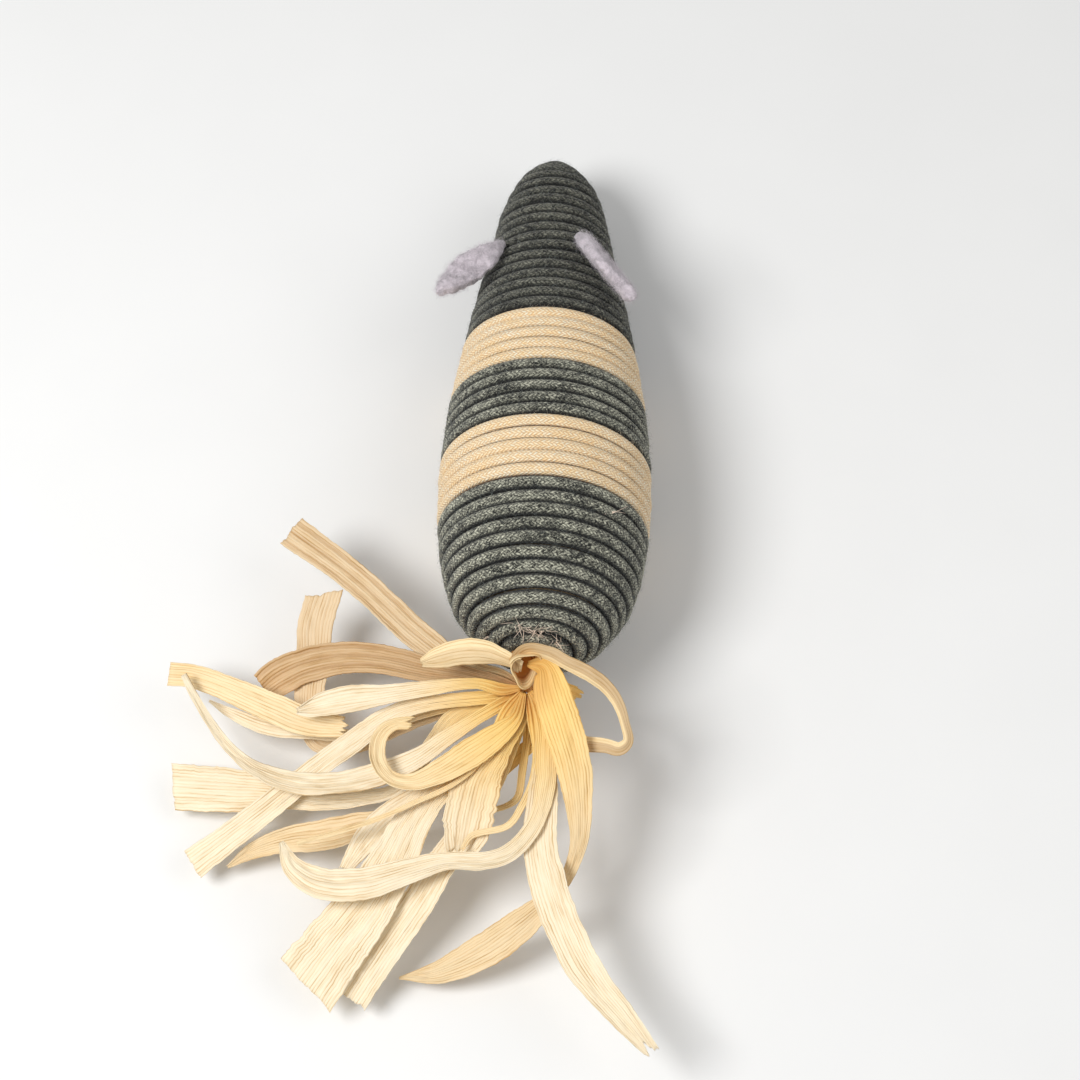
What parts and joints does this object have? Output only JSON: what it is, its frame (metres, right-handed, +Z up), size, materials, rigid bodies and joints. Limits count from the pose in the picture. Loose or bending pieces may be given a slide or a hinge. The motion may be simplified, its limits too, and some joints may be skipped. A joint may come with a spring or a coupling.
{
  "type": "catnip mouse",
  "caption": "Cat toy shaped like a mouse: a tapered body wound with grey and cream cord, pointed felt ears, and a tail of torn corn husk strips tied on behind.",
  "frame": {"origin": "on the floor, on the flat of the belly where the middle grey cord rests", "axes": "+Y towards the nose, +X to the side of the right ear as seen from behind and above, +Z up"},
  "size_m": [0.0811, 0.1639, 0.0359],
  "materials": {
    "grey_cord": "matt braided cord, grey-green heather",
    "cream_cord": "matt braided cord, cream",
    "ear_felt": "soft felt, light lilac grey",
    "corn_husk": "dry ribbed husk, cream to golden, slightly sheer",
    "core": "plain moulded pulp",
    "pouch_cloth": "plain woven cloth",
    "capsule": "plain moulded plastic",
    "ball": "smooth"
  },
  "bodies": {
    "mouse_body": {"nose_cord": "grey_cord", "front_cream_cord": "cream_cord", "middle_grey_cord": "grey_cord", "rear_cream_cord": "cream_cord", "rear_cord": "grey_cord", "core_nose_shell": "core", "core_rear_shell": "core", "catnip_pouch": "pouch_cloth", "rattle_capsule_body": "capsule", "rattle_capsule_cap": "capsule", "tail_root": "corn_husk", "tail_binding": "cream_cord"},
    "left_ear": {"ear_left": "ear_felt"},
    "right_ear": {"ear_right": "ear_felt"},
    "rattle": {"rattle_ball": "ball"},
    "tail_neck": {"husk_neck": "corn_husk", "husk_tie": "corn_husk"},
    "left_fan": {"husk_pleated_left": "corn_husk", "husk_upright_left": "corn_husk", "husk_grey_arch": "corn_husk", "husk_golden_left": "corn_husk", "husk_broad_left": "corn_husk", "husk_brown_left": "corn_husk", "husk_long_diagonal": "corn_husk", "husk_short_under": "corn_husk", "husk_leaf_left": "corn_husk", "husk_long_fold": "corn_husk", "husk_thin_stalk": "corn_husk", "husk_left_curl": "corn_husk"},
    "lower_fan": {"husk_small_point": "corn_husk", "husk_thin_brown": "corn_husk", "husk_lower_crossing": "corn_husk", "husk_broad_pale": "corn_husk", "husk_ribbed_curl": "corn_husk", "husk_thin_golden": "corn_husk", "husk_c_curve": "corn_husk"},
    "right_fan": {"husk_stub_right": "corn_husk", "husk_right_fold": "corn_husk", "husk_lower_right": "corn_husk"}
  },
  "joints": [
    {"name": "left_ear_flap", "type": "hinge", "parent": "mouse_body", "child": "left_ear", "pos_m": [-0.00937, 0.04196, 0.02303], "axis": [0.7107, -0.6997, 0.073], "range_deg": [-30, 15], "stiffness_Nm_per_rad": 0.0005},
    {"name": "right_ear_flap", "type": "hinge", "parent": "mouse_body", "child": "right_ear", "pos_m": [0.00499, 0.04213, 0.02593], "axis": [0.5699, -0.18, -0.8018], "range_deg": [-30, 10], "stiffness_Nm_per_rad": 0.0005},
    {"name": "rattle_slide", "type": "slide", "parent": "mouse_body", "child": "rattle", "axis": [0, -0.9962, 0.0872], "range_m": [0, 0.0048]},
    {"name": "tail_lift", "type": "hinge", "parent": "mouse_body", "child": "tail_neck", "pos_m": [0, -0.03575, 0.02075], "axis": [-1, 0, 0], "range_deg": [-3, 18], "stiffness_Nm_per_rad": 0.03},
    {"name": "left_fan_swing", "type": "hinge", "parent": "tail_neck", "child": "left_fan", "pos_m": [-0.0014, -0.04095, 0.0206], "axis": [-0.174, -0.255, 0.9511], "range_deg": [-6, 6], "stiffness_Nm_per_rad": 0.005},
    {"name": "lower_fan_swing", "type": "hinge", "parent": "tail_neck", "child": "lower_fan", "pos_m": [-0.0014, -0.04095, 0.0206], "axis": [-0.174, -0.255, 0.9511], "range_deg": [-6, 6], "stiffness_Nm_per_rad": 0.005},
    {"name": "right_fan_swing", "type": "hinge", "parent": "tail_neck", "child": "right_fan", "pos_m": [-0.0014, -0.04095, 0.0206], "axis": [-0.174, -0.255, 0.9511], "range_deg": [-6, 6], "stiffness_Nm_per_rad": 0.005}
  ]
}
